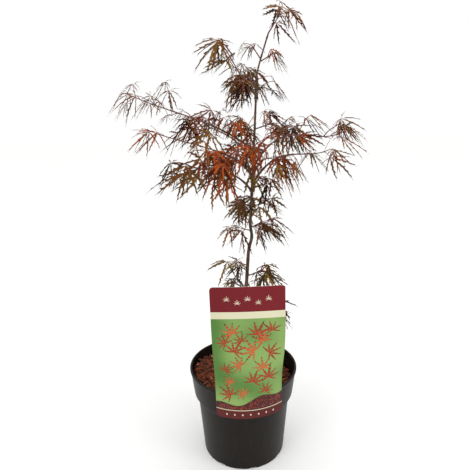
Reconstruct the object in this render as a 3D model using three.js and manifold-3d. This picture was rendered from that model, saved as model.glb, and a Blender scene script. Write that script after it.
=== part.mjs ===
// A young weeping japanese maple in a round nursery pot, with a printed card hooked on the rim.
// Millimetres, +Z up. The origin is the centre of the pot's flat underside, and the card faces -Y.
import * as THREE from "three";
import { mergeVertices } from "three/addons/utils/BufferGeometryUtils.js";
import Module from "manifold-3d";

const wasm = await Module();
wasm.setup();

const DEGREE = Math.PI / 180;
const UP = new THREE.Vector3(0, 0, 1);
const GAP = 0.3; // left between neighbouring pieces

// The pot: a tapering wall under a wider collar, as wide as a 19 cm nursery pot
const POT = {
  height: 165,
  rimRadius: 95,
  lip: 4.5,
  lipOut: 1.4,
  collarHeight: 46,
  collarRadius: 88.6,
  shoulder: 6,
  wallRadius: 82.1,
  footRadius: 73.1,
  footRound: 3,
  wall: 2,
  floor: 2.6,
  segments: 40,
};
const NOTCH = { count: 8, width: 13, depth: 7, height: 3.2, turn: 12 }; // drain notches in the foot's edge

// The potting bark: its level at the trunk, how it falls away to the right and the back, and its lumps
const BARK = {
  level: 147,
  sideDrop: 20,
  fallX: 0.1,
  fallY: 0.07,
  flatRadius: 19,
  wildRadius: 42,
  edgeFrom: 70,
  edgeTo: 88,
  edgeLow: 2.5,
};
const LUMPS = [
  { size: 1.6, alongX: 0.16, alongY: 0.13, shift: 1.3 },
  { size: 1.2, alongX: 0.33, alongY: -0.27, shift: 0 },
  { size: 1, alongX: 0.21, alongY: 0.37, shift: 2 },
];

// The trunk leans to the right, has a knee low down, and bends over near its top
const TRUNK = {
  footX: -5,
  footZ: BARK.level + GAP,
  topZ: 716,
  lean: 33.5,
  bow: 3,
  weave: 3,
  kneeZ: 403,
  knee: 4,
  kneeLength: 15,
  bendZ: 655,
  bend: 0.3,
  bendEase: 14,
  footRadius: 3.7,
  topRadius: 1.1,
  flare: 4,
  flareHeight: 9,
  sides: 10,
  spans: 24,
};

// The card: bent round the rim at its foot, flat and a little twisted at its top, with a tongue that hooks
// over the rim
const CARD = {
  width: 115,
  height: 232.5,
  bottomZ: 122,
  thickness: 0.8,
  corner: 5,
  clearance: 0.6,
  topBend: 600,
  bendEnd: 170,
  azimuth: 6.5,
  tilt: 1,
  twist: -5.5,
  tongueWidth: 20,
  tongueReach: 8.5,
  tongueDrop: 8,
  columns: 10,
  rows: 6,
};

// Every limb leaves the trunk at a height, towards an azimuth (0 is +X, 90 is +Y), and rises by lift over
// its reach. arch lifts its first third and sway bends it sideways. Its bare first share is the bough, and
// its foliage grows on from there. nodes counts the places for leaves, and leaf is a middle lobe's length.
const LIMBS = [
  {
    name: "long_left", tint: "bronze", leaf: 42, nodes: 4, bare: 0.4,
    height: 545, azimuth: 184, reach: 184, lift: 86, arch: 10, sway: 6,
  },
  {
    name: "mid_left", tint: "ember", leaf: 50, nodes: 3, bare: 0.4,
    height: 514, azimuth: 186, reach: 150, lift: 62, arch: 8, sway: -6,
  },
  {
    name: "low_left", tint: "bronze", leaf: 56, nodes: 3, bare: 0.36,
    height: 480, azimuth: 202, reach: 108, lift: 51, arch: 14, sway: 8,
  },
  {
    name: "front_left", tint: "ember", leaf: 56, nodes: 3, bare: 0.34,
    height: 502, azimuth: 230, reach: 84, lift: 32, arch: 16, sway: -6,
  },
  {
    name: "front_middle", tint: "brick", leaf: 52, nodes: 3, bare: 0.34,
    height: 531, azimuth: 272, reach: 66, lift: 25, arch: 12, sway: 5,
  },
  {
    name: "front_right", tint: "ember", leaf: 54, nodes: 3, bare: 0.34,
    height: 506, azimuth: 302, reach: 72, lift: 34, arch: 16, sway: 6,
  },
  {
    name: "long_right_high", tint: "brick", leaf: 50, nodes: 5, bare: 0.24,
    height: 518, azimuth: 358, reach: 134, lift: 52, arch: 30, sway: -7,
  },
  {
    name: "long_right_low", tint: "bronze", leaf: 44, nodes: 2, bare: 0.56,
    height: 490, azimuth: 356, reach: 118, lift: 55, arch: 24, sway: 5,
  },
  {
    name: "low_right", tint: "maroon", leaf: 50, nodes: 2, bare: 0.34,
    height: 480, azimuth: 290, reach: 32, lift: 30, arch: 8, sway: 5,
  },
  {
    name: "back_left", tint: "brick", leaf: 54, nodes: 3, bare: 0.36,
    height: 526, azimuth: 138, reach: 116, lift: 62, arch: 16, sway: 8,
  },
  {
    name: "back_right", tint: "bronze", leaf: 54, nodes: 3, bare: 0.36,
    height: 534, azimuth: 62, reach: 114, lift: 32, arch: 18, sway: -8,
  },
  {
    name: "back_middle", tint: "brick", leaf: 56, nodes: 3, bare: 0.36,
    height: 496, azimuth: 95, reach: 106, lift: 50, arch: 14, sway: 6,
  },
  {
    name: "upper_left", tint: "olive", leaf: 48, nodes: 3, bare: 0.3,
    height: 630, azimuth: 192, reach: 52, lift: 72, arch: -8, sway: 5,
  },
  {
    name: "upper_back", tint: "olive", leaf: 44, nodes: 2, bare: 0.34,
    height: 624, azimuth: 104, reach: 54, lift: 32, arch: 8, sway: -5,
  },
];

// Sprays grow on short twigs straight from the trunk, so they have no bough
const SPRAYS = [
  {
    name: "crown_tip", tint: "bronze", leaf: 42, nodes: 2,
    height: 716, azimuth: 2, reach: 16, lift: 24,
  },
  {
    name: "leader_right", tint: "bronze", leaf: 38, nodes: 1,
    height: 676, azimuth: 350, reach: 16, lift: 9,
  },
  {
    name: "leader_left", tint: "olive", leaf: 32, nodes: 1,
    height: 680, azimuth: 160, reach: 14, lift: 20,
  },
  {
    name: "upper_right", tint: "maroon", leaf: 52, nodes: 2,
    height: 634, azimuth: 318, reach: 16, lift: 10,
  },
  {
    name: "upper_low_left", tint: "maroon", leaf: 50, nodes: 2,
    height: 640, azimuth: 220, reach: 34, lift: 2,
  },
  {
    name: "heart_left", tint: "ember", leaf: 50, nodes: 2,
    height: 568, azimuth: 166, reach: 42, lift: 14,
  },
  {
    name: "heart_front", tint: "brick", leaf: 52, nodes: 2,
    height: 574, azimuth: 252, reach: 34, lift: 8,
  },
  {
    name: "heart_right", tint: "ember", leaf: 52, nodes: 2,
    height: 578, azimuth: 318, reach: 34, lift: 10,
  },
  {
    name: "knee_left", tint: "olive", leaf: 46, nodes: 1,
    height: 470, azimuth: 250, reach: 16, lift: 6,
  },
  {
    name: "knee_right", tint: "maroon", leaf: 50, nodes: 2,
    height: 454, azimuth: 352, reach: 20, lift: 8,
  },
  {
    name: "knee_back", tint: "bronze", leaf: 50, nodes: 2,
    height: 440, azimuth: 92, reach: 28, lift: 10,
  },
  {
    name: "waist_left", tint: "bronze", leaf: 46, nodes: 1,
    height: 414, azimuth: 196, reach: 16, lift: 5,
  },
  {
    name: "waist_right", tint: "bronze", leaf: 52, nodes: 2,
    height: 420, azimuth: 342, reach: 20, lift: 8,
  },
  {
    name: "low_twig_left", tint: "olive", leaf: 44, nodes: 1,
    height: 352, azimuth: 186, reach: 12, lift: 5,
  },
  {
    name: "low_twig_right", tint: "olive", leaf: 54, nodes: 2,
    height: 333, azimuth: 356, reach: 26, lift: 10,
  },
  {
    name: "foot_twig_right", tint: "bronze", leaf: 50, nodes: 1,
    height: 266, azimuth: 12, reach: 50, lift: 10,
  },
  {
    name: "foot_twig_back", tint: "olive", leaf: 50, nodes: 1,
    height: 296, azimuth: 112, reach: 24, lift: 12,
  },
];

const BOUGH = { footRadius: 1.9, tipRadius: 1.15, sides: 5, spans: 5 };
const TWIG = { footRadius: 1.1, tipRadius: 0.7, sideRadius: 0.9, sides: 3, minLength: 18, maxLength: 32 };
const STALK = { footRadius: 0.95, min: 9, max: 24 };

// How leaves are held: pairs stand out flat or steep in turn, and lean forward along their twig. Angles
// are in degrees, and shares are of the direction along the twig or of a leaf's length.
const HOLD = {
  flatRoll: 8,
  steepRoll: 50,
  rollSpread: 36,
  forward: 0.6,
  outward: 0.5,
  turn: 60,
  turnMore: 8, // added at each further try
  minDip: 26,
  maxDip: 62,
  tipDroop: 14,
  bank: 116,
  minSize: 0.84,
  maxSize: 1.14,
  shrink: 0.025, // taken off at each further try
  fork: 0.9,
  tipSpread: 63,
  tipRise: 0.15,
};

// A leaf is palmate: its lobes stand at these angles from its middle one, as shares of that one's length
const LOBES = [
  { angle: -84, share: 0.58 },
  { angle: -41, share: 0.88 },
  { angle: 0, share: 1 },
  { angle: 41, share: 0.88 },
  { angle: 84, share: 0.58 },
];
const BLADE = {
  notch: 0.15, // share of a middle lobe's length, where two lobes meet
  crown: 0.9, // how far the middle stands up
  under: 0.7,
  sag: 0.13, // how far a lobe's tip bends down, as a share of its length
};

// Foliage keeps to its own space: nearer to its own hanging line than to any other's
const SPACE = {
  hang: 0.2, // how far that line hangs below the twig, as a share of a leaf
  over: 1.12, // where it ends, as a share of the limb
  reach: 1.75, // the furthest from it that a leaf may go, as a share of the leaf
  clear: 2,
  limbClear: 1.2,
  lowest: 200,
  cardFront: -72,
  cardTop: 372,
};
const TRIES = 16;
const LEAF_CLEAR = 2.2; // between the middle lines of two leaves
const LEAF_STEPS = 6;

// Numbers from 0 to 1 that depend on the seed alone
function seeded(seed) {
  let state = Math.imul(seed, 2654435761) >>> 0;
  return () => {
    state = (Math.imul(state, 1664525) + 1013904223) >>> 0;
    return state / 4294967296;
  };
}

const between = (low, high, share) => low + (high - low) * share;

const heading = (azimuth) =>
  new THREE.Vector3(Math.cos(azimuth * DEGREE), Math.sin(azimuth * DEGREE), 0);

function solidOf(geometry) {
  const bare = geometry.clone();
  bare.deleteAttribute("normal");
  bare.deleteAttribute("uv");
  const merged = mergeVertices(bare, 1e-4);
  return new wasm.Manifold(
    new wasm.Mesh({
      numProp: 3,
      vertProperties: merged.attributes.position.array,
      triVerts: new Uint32Array(merged.index.array),
    }),
  );
}

// The largest body of a solid, so that a loose scrap or a sealed bubble is left behind
function mainBody(solid) {
  return solid.decompose().reduce((best, body) => (body.volume() > best.volume() ? body : best));
}

function geometryOf(solid) {
  const mesh = solid.getMesh();
  const positions = new Float32Array(mesh.numVert * 3);
  for (let i = 0; i < mesh.numVert; i++) {
    positions.set(mesh.vertProperties.subarray(i * mesh.numProp, i * mesh.numProp + 3), i * 3);
  }
  return new THREE.BufferGeometry()
    .setAttribute("position", new THREE.BufferAttribute(positions, 3))
    .setIndex(new THREE.BufferAttribute(mesh.triVerts, 1));
}

function indexed(points, faces) {
  const positions = new Float32Array(points.flatMap((p) => [p.x, p.y, p.z]));
  return new THREE.BufferGeometry()
    .setAttribute("position", new THREE.BufferAttribute(positions, 3))
    .setIndex(faces);
}

// A closed round limb along a line of points, with a radius at each. Its first ring lies square to firstWay.
function limbGeometry(line, radii, sides, firstWay) {
  const points = [];
  const faces = [];
  let side = new THREE.Vector3(0, 1, 0);
  line.forEach((at, i) => {
    const back = line[Math.max(0, i - 1)];
    const ahead = line[Math.min(line.length - 1, i + 1)];
    const way = i === 0 && firstWay ? firstWay.clone() : ahead.clone().sub(back).normalize();
    side.addScaledVector(way, -side.dot(way));
    if (side.lengthSq() < 1e-6) side.set(1, 0, 0).addScaledVector(way, -way.x);
    side.normalize();
    const across = way.clone().cross(side);
    for (let k = 0; k < sides; k++) {
      const angle = (2 * Math.PI * k) / sides;
      points.push(
        at
          .clone()
          .addScaledVector(side, radii[i] * Math.cos(angle))
          .addScaledVector(across, radii[i] * Math.sin(angle)),
      );
    }
  });
  const last = line.length - 1;
  for (let i = 0; i < last; i++) {
    for (let k = 0; k < sides; k++) {
      const a = i * sides + k;
      const b = i * sides + ((k + 1) % sides);
      faces.push(a, b, b + sides, a, b + sides, a + sides);
    }
  }
  for (let k = 1; k < sides - 1; k++) {
    faces.push(0, k + 1, k, last * sides, last * sides + k, last * sides + k + 1);
  }
  return indexed(points, faces);
}

function lathe(profile) {
  const spun = new THREE.LatheGeometry(
    profile.map(([r, z]) => new THREE.Vector2(r, z)),
    POT.segments,
  );
  return spun.rotateX(Math.PI / 2);
}

// The inner wall from the lip down to the floor, drawn in by inset
function innerWall(inset) {
  const collarFoot = POT.height - POT.collarHeight;
  return [
    [POT.rimRadius - POT.lipOut - POT.wall - inset, POT.height - POT.lip],
    [POT.collarRadius - POT.wall - inset, collarFoot + 0.4],
    [POT.wallRadius - POT.wall - inset, collarFoot - POT.shoulder + 1.2],
    [POT.footRadius - POT.wall - inset, POT.floor + POT.footRound],
    [POT.footRadius - POT.wall - POT.footRound - inset, POT.floor + inset],
  ];
}

function potGeometry() {
  const collarFoot = POT.height - POT.collarHeight;
  const outer = [
    [0, 0],
    [POT.footRadius - POT.footRound, 0],
    [POT.footRadius - POT.footRound * 0.25, POT.footRound * 0.35],
    [POT.footRadius, POT.footRound],
    [POT.wallRadius, collarFoot - POT.shoulder],
    [POT.collarRadius - 1.2, collarFoot - 2.6],
    [POT.collarRadius, collarFoot],
    [POT.rimRadius - POT.lipOut, POT.height - POT.lip],
    [POT.rimRadius, POT.height - POT.lip + 1.2],
    [POT.rimRadius - 0.2, POT.height - 0.9],
    [POT.rimRadius - 1.2, POT.height],
    [POT.rimRadius - POT.lipOut - POT.wall + 0.5, POT.height],
  ];
  let pot = solidOf(lathe([...outer, ...innerWall(0), [0, POT.floor]]));
  for (let i = 0; i < NOTCH.count; i++) {
    const block = new THREE.BoxGeometry(NOTCH.depth * 2, NOTCH.width, NOTCH.height * 2);
    block.translate(POT.footRadius, 0, 0);
    block.rotateZ((NOTCH.turn + (360 * i) / NOTCH.count) * DEGREE);
    pot = pot.subtract(solidOf(block));
  }
  return geometryOf(pot);
}

// The bark's surface: flat round the trunk, falling away to the right and the back, lumpy elsewhere
function barkLevel(x, y) {
  const radius = Math.hypot(x, y);
  const wild = THREE.MathUtils.smoothstep(radius, BARK.flatRadius, BARK.wildRadius);
  const lumps = LUMPS.reduce(
    (sum, lump) => sum + lump.size * Math.sin(lump.alongX * x + lump.alongY * y + lump.shift),
    0,
  );
  const edge = BARK.edgeLow * THREE.MathUtils.smoothstep(radius, BARK.edgeFrom, BARK.edgeTo);
  return BARK.level + wild * (lumps - BARK.fallX * x - BARK.fallY * y - edge);
}

function barkGeometry() {
  const wall = innerWall(GAP).reverse();
  const [, , , knee, lip] = wall;
  const shoulder = BARK.level - BARK.sideDrop;
  const flare = (lip[0] - knee[0]) / (lip[1] - knee[1]);
  const radius = knee[0] + flare * (shoulder - knee[1]);
  const topRings = [0.999, 0.84, 0.66, 0.46, 0.24, 0].map((share) => [radius * share, BARK.level]);
  const bark = lathe([[0, POT.floor + GAP], ...wall.slice(0, 4), [radius, shoulder], ...topRings]);
  const places = bark.attributes.position;
  for (let i = 0; i < places.count; i++) {
    if (places.getZ(i) > shoulder + 1) places.setZ(i, barkLevel(places.getX(i), places.getY(i)));
  }
  return bark;
}

// The trunk's middle at a height
function trunkPoint(z) {
  const rise = (z - TRUNK.footZ) / (TRUNK.topZ - TRUNK.footZ);
  const over = Math.max(0, z - TRUNK.bendZ);
  const knee = TRUNK.knee * Math.exp(-(((z - TRUNK.kneeZ) / TRUNK.kneeLength) ** 2));
  const bow = TRUNK.bow * Math.sin(Math.PI * rise);
  const bend = (TRUNK.bend * over * over) / (over + TRUNK.bendEase);
  const x = TRUNK.footX + TRUNK.lean * rise + bow + knee + bend;
  return new THREE.Vector3(x, TRUNK.weave * Math.sin(2 * Math.PI * rise), z);
}

function trunkRadius(z) {
  const rise = (z - TRUNK.footZ) / (TRUNK.topZ - TRUNK.footZ);
  const flare = TRUNK.flare * Math.exp(-(z - TRUNK.footZ) / TRUNK.flareHeight);
  return between(TRUNK.footRadius, TRUNK.topRadius, Math.min(1, rise)) + flare;
}

// Heights up the trunk, closer together in the flare at its foot
function trunkHeights() {
  const flareTop = TRUNK.footZ + 3 * TRUNK.flareHeight;
  const heights = [0, 0.15, 0.35, 0.6].map((share) => between(TRUNK.footZ, flareTop, share));
  for (let i = 0; i <= TRUNK.spans; i++) heights.push(between(flareTop, TRUNK.topZ, i / TRUNK.spans));
  return heights;
}

function trunkGeometry(extra) {
  const heights = trunkHeights();
  const radii = heights.map((z) => trunkRadius(z) + extra);
  return limbGeometry(heights.map(trunkPoint), radii, TRUNK.sides, UP);
}

// A point along a limb, t from 0 at the trunk to 1 at its tip
function limbPoint(limb, t) {
  const out = heading(limb.azimuth);
  const side = heading(limb.azimuth + 90);
  const rise = limb.lift * t + (limb.arch ?? 0) * 6.75 * t * (1 - t) ** 2;
  return trunkPoint(limb.height)
    .addScaledVector(out, limb.reach * t)
    .addScaledVector(side, (limb.sway ?? 0) * Math.sin(Math.PI * t))
    .addScaledVector(UP, rise);
}

function limbLine(limb, from, to, spans) {
  const line = [];
  for (let i = 0; i <= spans; i++) line.push(limbPoint(limb, between(from, to, i / spans)));
  return line;
}

// The share of a limb where its foliage starts, just clear of its bough
function foliageStart(limb) {
  return limb.bare ? limb.bare + GAP / Math.hypot(limb.reach, limb.lift) : 0;
}

function boughGeometry(limb) {
  const radii = [];
  for (let i = 0; i <= BOUGH.spans; i++) {
    radii.push(between(BOUGH.footRadius, BOUGH.tipRadius, i / BOUGH.spans));
  }
  const line = limbLine(limb, 0, limb.bare, BOUGH.spans);
  return limbGeometry(line, radii, BOUGH.sides);
}

// The shortest way from a point to a line of points
function distanceTo(point, line) {
  let best = Infinity;
  for (let i = 0; i + 1 < line.length; i++) {
    const near = new THREE.Line3(line[i], line[i + 1]).closestPointToPoint(
      point,
      true,
      new THREE.Vector3(),
    );
    best = Math.min(best, near.distanceTo(point));
  }
  return best;
}

const growths = [...LIMBS, ...SPRAYS].map((limb, i) => ({ ...limb, seed: 101 + 7 * i }));
for (const growth of growths) {
  const start = foliageStart(growth);
  const drop = growth.leaf * SPACE.hang;
  growth.boughLine = limbLine(growth, 0, start, BOUGH.spans);
  growth.twigLine = limbLine(growth, start, 1, growth.nodes);
  growth.site = limbLine(growth, start, SPACE.over, 4).map((p) => p.addScaledVector(UP, -drop));
}
const trunkLine = trunkHeights().map(trunkPoint);

function isFree(point, growth) {
  if (point.z < SPACE.lowest) return false;
  if (point.y < SPACE.cardFront && point.z < SPACE.cardTop) return false;
  const own = distanceTo(point, growth.site);
  if (own > growth.leaf * SPACE.reach) return false;
  if (distanceTo(point, trunkLine) < trunkRadius(point.z) + SPACE.limbClear) return false;
  const limbRoom = BOUGH.footRadius + SPACE.limbClear;
  return growths.every((other) => {
    if (distanceTo(point, other.boughLine) < limbRoom) return false;
    if (other === growth) return true;
    return distanceTo(point, other.twigLine) > limbRoom && distanceTo(point, other.site) > own + SPACE.clear;
  });
}

// A point on a lobe's middle line at a share of its length, bent down by its own weight
function lobePoint(leaf, lobe, share) {
  const length = leaf.size * lobe.share;
  return leaf.hub
    .clone()
    .addScaledVector(leaf.forward, length * share * Math.cos(lobe.angle * DEGREE))
    .addScaledVector(leaf.side, length * share * Math.sin(lobe.angle * DEGREE))
    .addScaledVector(UP, -BLADE.sag * length * share * share);
}

// One way of holding a leaf on a stalk that leaves base towards way
function poseLeaf(growth, base, way, droop, random, attempt) {
  const stalk = between(STALK.min, STALK.max, random());
  const turn = (random() - 0.5) * (HOLD.turn + HOLD.turnMore * attempt);
  const dip = (between(HOLD.minDip, HOLD.maxDip, random()) + droop) * DEGREE;
  const bank = (random() - 0.5) * HOLD.bank * DEGREE;
  const size = growth.leaf * between(HOLD.minSize, HOLD.maxSize, random()) * (1 - HOLD.shrink * attempt);
  const flat = new THREE.Vector3(way.x, way.y, 0).addScaledVector(heading(growth.azimuth), HOLD.outward);
  flat.normalize().applyAxisAngle(UP, turn * DEGREE);
  const forward = flat.multiplyScalar(Math.cos(dip)).addScaledVector(UP, -Math.sin(dip));
  const side = forward.clone().cross(UP).normalize().applyAxisAngle(forward, bank);
  const normal = side.clone().cross(forward).normalize();
  return { base, hub: base.clone().addScaledVector(way, stalk), forward, side, normal, size };
}

const lobeFits = (leaf, lobe, growth) =>
  [0.4, 0.7, 1].every((share) => isFree(lobePoint(leaf, lobe, share), growth));

// The middle lines of a leaf: its stalk's outer half, and each of its lobes
function leafLines(leaf) {
  const lines = leaf.lobes.map((lobe) => [leaf.hub, lobePoint(leaf, lobe, 1)]);
  return [[leaf.base.clone().lerp(leaf.hub, 0.5), leaf.hub], ...lines];
}

// Whether points spread along a leaf's lines come close to another leaf's
function crosses(leaf, others) {
  const points = leafLines(leaf).flatMap(([from, to]) =>
    Array.from({ length: LEAF_STEPS + 1 }, (_, i) => from.clone().lerp(to, i / LEAF_STEPS)),
  );
  const lines = others.flatMap(leafLines);
  return lines.some((line) => points.some((point) => distanceTo(point, line) < LEAF_CLEAR));
}

// Tries a leaf in several poses and gives the first that stays in its space with most of its lobes
function growLeaf(growth, base, way, droop, random, others) {
  let chosen = null;
  for (let attempt = 0; attempt < TRIES; attempt++) {
    const leaf = poseLeaf(growth, base, way, droop, random, attempt);
    if (chosen || !isFree(leaf.hub, growth)) continue;
    if (!lobeFits(leaf, LOBES[2], growth)) continue;
    leaf.lobes = LOBES.filter((lobe) => lobeFits(leaf, lobe, growth));
    if (leaf.lobes.length >= 4 && !crosses(leaf, others)) chosen = leaf;
  }
  return chosen;
}

// The blade is one star: its lobes are spikes round a thicker middle, and neighbours share a notch
function bladeGeometry(leaf) {
  const { hub, normal, lobes } = leaf;
  const points = [
    hub.clone().addScaledVector(normal, BLADE.crown),
    hub.clone().addScaledVector(normal, -BLADE.under),
  ];
  const faces = [];
  lobes.forEach((lobe, i) => {
    const next = lobes[(i + 1) % lobes.length];
    const last = i === lobes.length - 1;
    const middle = (lobe.angle + next.angle + (last ? 360 : 0)) / 2;
    points.push(lobePoint(leaf, { angle: middle, share: 1 }, last ? BLADE.notch / 2 : BLADE.notch));
  });
  lobes.forEach((lobe, i) => {
    const start = 2 + ((i + lobes.length - 1) % lobes.length);
    const end = 2 + i;
    const tip = points.length;
    points.push(lobePoint(leaf, lobe, 1));
    faces.push(0, tip, start, 0, end, tip, 1, start, tip, 1, tip, end);
  });
  return indexed(points, faces);
}

// A stalk tapers from three sides on its twig to a point inside the middle of its blade
function stalkGeometry(leaf) {
  const way = leaf.hub.clone().sub(leaf.base).normalize();
  const side = way.clone().cross(UP).normalize().multiplyScalar(STALK.footRadius);
  const ring = [0, 1, 2].map((k) =>
    side
      .clone()
      .applyAxisAngle(way, (2 * Math.PI * k) / 3)
      .add(leaf.base),
  );
  return indexed([...ring, leaf.hub], [0, 2, 1, 0, 1, 3, 1, 2, 3, 2, 0, 3]);
}

// Leaves stand in pairs along the twig, and each place but the last may have a side twig with a fork of two
function growFoliage(growth) {
  const random = seeded(growth.seed);
  const start = foliageStart(growth);
  const leaves = [];
  const twigs = [];
  const add = (base, way, droop = 0) => {
    const leaf = growLeaf(growth, base, way, droop, random, leaves);
    if (leaf) leaves.push(leaf);
  };
  const tip = limbPoint(growth, 1);
  const along = tip.clone().sub(limbPoint(growth, start)).normalize();
  const across = along.clone().cross(UP).normalize();
  const over = across.clone().cross(along);
  for (let k = 0; k < growth.nodes; k++) {
    const base = limbPoint(growth, between(start, 1, Math.min(0.99, (k + 0.75) / growth.nodes)));
    const roll = (k % 2 ? HOLD.steepRoll : HOLD.flatRoll) + (random() - 0.5) * HOLD.rollSpread;
    for (const hand of [1, -1]) {
      const way = along
        .clone()
        .multiplyScalar(HOLD.forward)
        .addScaledVector(across, hand * Math.cos(roll * DEGREE))
        .addScaledVector(over, hand * Math.sin(roll * DEGREE))
        .normalize();
      const end = base.clone().addScaledVector(way, between(TWIG.minLength, TWIG.maxLength, random()));
      const free = isFree(end, growth) && isFree(base.clone().lerp(end, 0.5), growth);
      if (hand === 1 && k < growth.nodes - 1 && free) {
        twigs.push([base, end]);
        add(end, way.clone().addScaledVector(across, HOLD.fork).normalize());
        add(end, way.clone().addScaledVector(across, -HOLD.fork).normalize());
      } else {
        add(base, way);
      }
    }
  }
  const ahead = heading(growth.azimuth).addScaledVector(UP, HOLD.tipRise).normalize();
  for (const spread of [0, 1, -1]) {
    const way = ahead.clone().applyAxisAngle(UP, spread * HOLD.tipSpread * DEGREE);
    add(tip, way, HOLD.tipDroop);
  }
  return { leaves, twigs };
}

function foliageGeometry(growth, trunkRoom) {
  const { leaves, twigs } = growFoliage(growth);
  const radii = growth.twigLine.map((_, i) => between(TWIG.footRadius, TWIG.tipRadius, i / growth.nodes));
  let mass = solidOf(limbGeometry(growth.twigLine, radii, TWIG.sides));
  for (const twig of twigs) {
    mass = mass.add(solidOf(limbGeometry(twig, [TWIG.sideRadius, TWIG.tipRadius], TWIG.sides)));
  }
  for (const leaf of leaves) {
    mass = mass.add(solidOf(bladeGeometry(leaf)).add(solidOf(stalkGeometry(leaf))));
  }
  if (!growth.bare) mass = mass.subtract(trunkRoom);
  return geometryOf(mainBody(mass));
}

// The card's surface at a distance across and a height up, outward by off
function cardPoint(across, up, off) {
  const rimUp = POT.height - CARD.bottomZ + 8;
  const ease = THREE.MathUtils.smoothstep(up, rimUp, CARD.bendEnd);
  const inner = POT.rimRadius + CARD.clearance;
  const bend = 1 / between(1 / inner, 1 / CARD.topBend, ease);
  const angle = across / bend;
  const point = new THREE.Vector3((bend + off) * Math.sin(angle), bend - (bend + off) * Math.cos(angle), 0);
  point.applyAxisAngle(UP, CARD.twist * ease * DEGREE);
  point.add(new THREE.Vector3(0, -inner, CARD.bottomZ + up));
  const hinge = new THREE.Vector3(0, 0, POT.height);
  point.sub(hinge).applyAxisAngle(new THREE.Vector3(0, 1, 0), -CARD.tilt * DEGREE).add(hinge);
  return point.applyAxisAngle(UP, CARD.azimuth * DEGREE);
}

function cardGeometry() {
  const across = CARD.columns;
  const heights = [0, CARD.corner * 0.25];
  for (let i = 0; i <= CARD.rows; i++) {
    heights.push(between(CARD.corner, CARD.height - CARD.corner, i / CARD.rows));
  }
  heights.push(CARD.height - CARD.corner * 0.25, CARD.height);
  const halfWidth = (up) => {
    const inset = Math.max(0, CARD.corner - Math.min(up, CARD.height - up));
    return CARD.width / 2 - CARD.corner + Math.sqrt(CARD.corner ** 2 - inset ** 2);
  };
  const points = [CARD.thickness, 0].flatMap((off) =>
    heights.flatMap((up) =>
      Array.from({ length: across + 1 }, (_, i) =>
        cardPoint(halfWidth(up) * between(-1, 1, i / across), up, off),
      ),
    ),
  );
  const faces = [];
  const quad = (a, b, c, d) => faces.push(a, b, c, a, c, d);
  const row = across + 1;
  const sheet = row * heights.length;
  for (let j = 0; j + 1 < heights.length; j++) {
    const left = j * row;
    const right = left + across;
    for (let a = left; a < right; a++) {
      quad(a, a + 1, a + row + 1, a + row);
      quad(sheet + a, sheet + a + row, sheet + a + row + 1, sheet + a + 1);
    }
    quad(left, left + row, sheet + left + row, sheet + left);
    quad(right, sheet + right, sheet + right + row, right + row);
  }
  const top = (heights.length - 1) * row;
  for (let i = 0; i < across; i++) {
    quad(i, sheet + i, sheet + i + 1, i + 1);
    quad(top + i, top + i + 1, sheet + top + i + 1, sheet + top + i);
  }
  return geometryOf(solidOf(indexed(points, faces)).add(tongueSolid()));
}

// The tongue is a strip bent back over the lip and down inside it
function tongueSolid() {
  const front = POT.rimRadius + CARD.clearance + CARD.thickness / 4;
  const over = POT.height + CARD.clearance;
  const back = front - CARD.tongueReach;
  const outline = new THREE.Shape([
    new THREE.Vector2(front, over),
    new THREE.Vector2(front, over + 4 * CARD.thickness),
    new THREE.Vector2(back, over + CARD.thickness),
    new THREE.Vector2(back, over - CARD.tongueDrop),
    new THREE.Vector2(back + CARD.thickness, over - CARD.tongueDrop),
    new THREE.Vector2(back + CARD.thickness, over),
  ]);
  const strip = new THREE.ExtrudeGeometry(outline, { depth: CARD.tongueWidth, bevelEnabled: false });
  strip.translate(0, 0, -CARD.tongueWidth / 2);
  strip.rotateX(Math.PI / 2);
  strip.rotateZ((CARD.azimuth - 90) * DEGREE);
  return solidOf(strip);
}

const TINTS = {
  ember: new THREE.Color(0.66, 0.25, 0.12),
  brick: new THREE.Color(0.55, 0.22, 0.13),
  maroon: new THREE.Color(0.34, 0.15, 0.13),
  bronze: new THREE.Color(0.42, 0.26, 0.16),
  olive: new THREE.Color(0.38, 0.31, 0.17),
};
const finish = (color, roughness, metalness = 0) =>
  new THREE.MeshStandardMaterial({ color, roughness, metalness });
const MATERIALS = {
  pot: finish(new THREE.Color(0.09, 0.085, 0.08), 0.5),
  bark: finish(new THREE.Color(0.22, 0.11, 0.07), 0.95),
  wood: finish(new THREE.Color(0.23, 0.15, 0.11), 0.7),
  card: finish(new THREE.Color(0.45, 0.14, 0.15), 0.35),
};

const maple = new THREE.Group();
function place(name, geometry, material) {
  const mesh = new THREE.Mesh(geometry, material);
  mesh.name = name;
  maple.add(mesh);
}

place("pot", potGeometry(), MATERIALS.pot);
place("potting_bark", barkGeometry(), MATERIALS.bark);
place("card", cardGeometry(), MATERIALS.card);
place("trunk", trunkGeometry(0), MATERIALS.wood);
const trunkRoom = solidOf(trunkGeometry(GAP));
for (const limb of LIMBS) {
  const bough = solidOf(boughGeometry(limb)).subtract(trunkRoom);
  place(`bough_${limb.name}`, geometryOf(mainBody(bough)), MATERIALS.wood);
}
for (const growth of growths) {
  place(`foliage_${growth.name}`, foliageGeometry(growth, trunkRoom), finish(TINTS[growth.tint], 0.6));
}

export default maple;
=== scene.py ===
import math
from types import SimpleNamespace as Values

import bpy
import numpy as np
from mathutils import Matrix, Vector


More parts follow.
